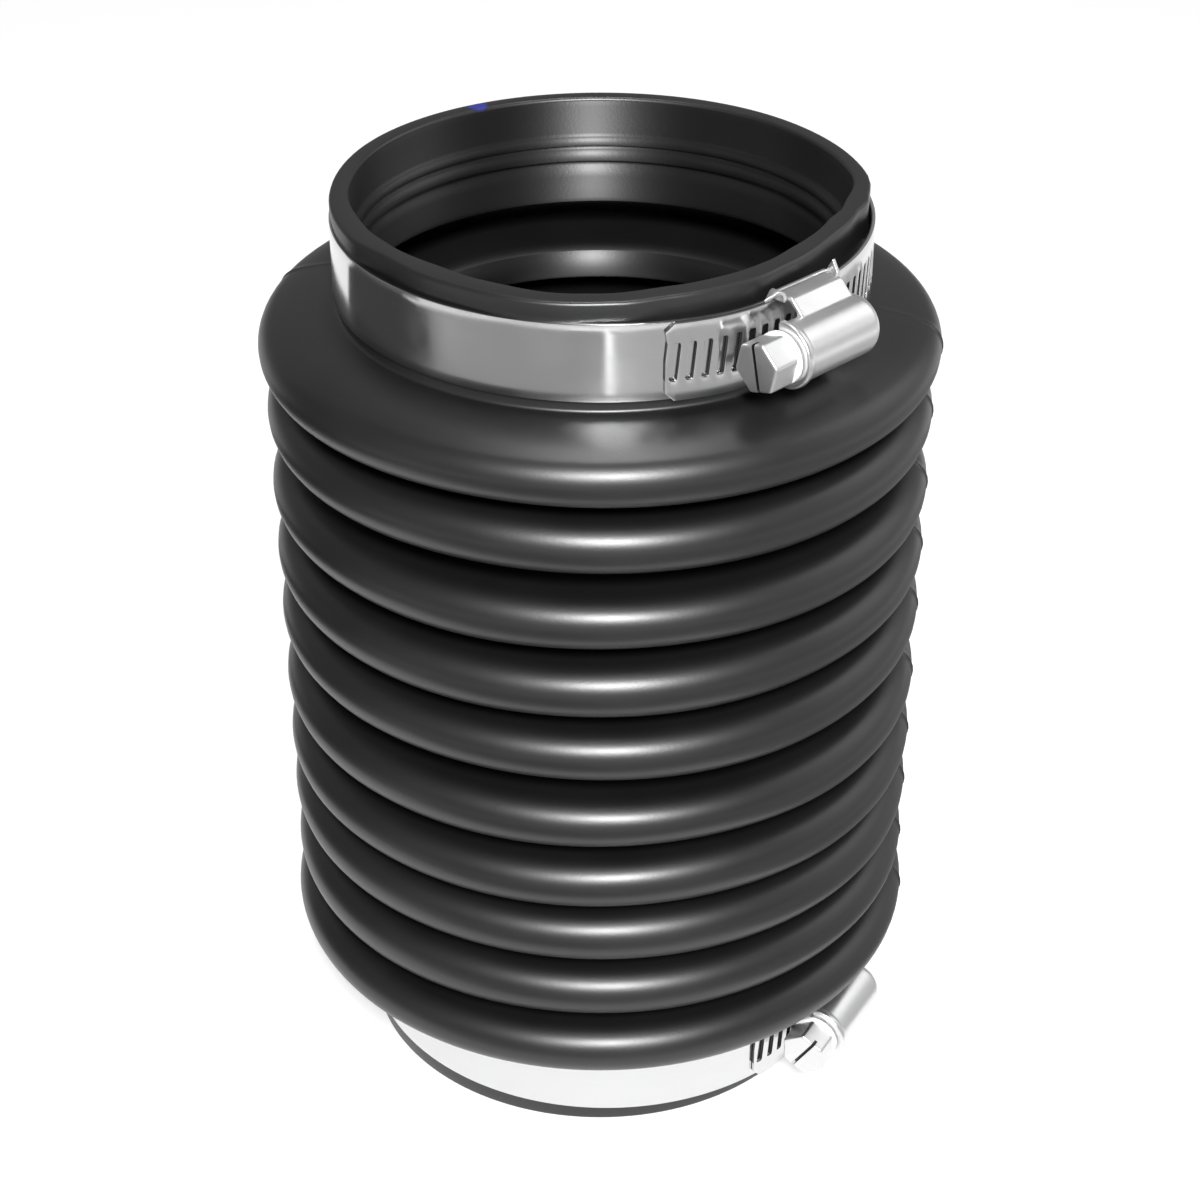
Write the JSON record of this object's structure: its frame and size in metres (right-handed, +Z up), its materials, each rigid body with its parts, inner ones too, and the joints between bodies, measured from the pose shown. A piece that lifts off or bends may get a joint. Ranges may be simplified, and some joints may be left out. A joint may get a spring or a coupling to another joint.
{
  "type": "rubber bellows boot",
  "caption": "Long rubber bellows with plain cuffs, each held by a worm drive hose clamp: seals round a moving shaft, linkage or pipe joint.",
  "frame": {"origin": "centre of the lower rim, on the surface that the boot stands on", "axes": "+Z up along the boot's axis, -Y towards the picture's front, +X to its right"},
  "size_m": [0.112, 0.112, 0.16],
  "materials": {
    "rubber": "satin moulded, charcoal black",
    "band_steel": "bright rolled stainless strip",
    "housing_steel": "satin pressed stainless sheet",
    "screw_steel": "bright zinc plated"
  },
  "bodies": {
    "boot": {"bellows_boot": "rubber", "upper_band": "band_steel", "upper_housing": "housing_steel", "upper_saddle": "housing_steel", "lower_band": "band_steel", "lower_housing": "housing_steel", "lower_saddle": "housing_steel"},
    "upper_worm": {"upper_screw": "screw_steel"},
    "lower_worm": {"lower_screw": "screw_steel"}
  },
  "joints": [
    {"name": "upper_screw_turn", "type": "hinge", "parent": "boot", "child": "upper_worm", "pos_m": [0.03396, -0.03456, 0.15055], "axis": [0.7133, 0.7009, 0], "continuous": true},
    {"name": "lower_screw_turn", "type": "hinge", "parent": "boot", "child": "lower_worm", "pos_m": [0.04374, -0.02474, 0.01105], "axis": [0.4924, 0.8704, 0], "continuous": true}
  ]
}
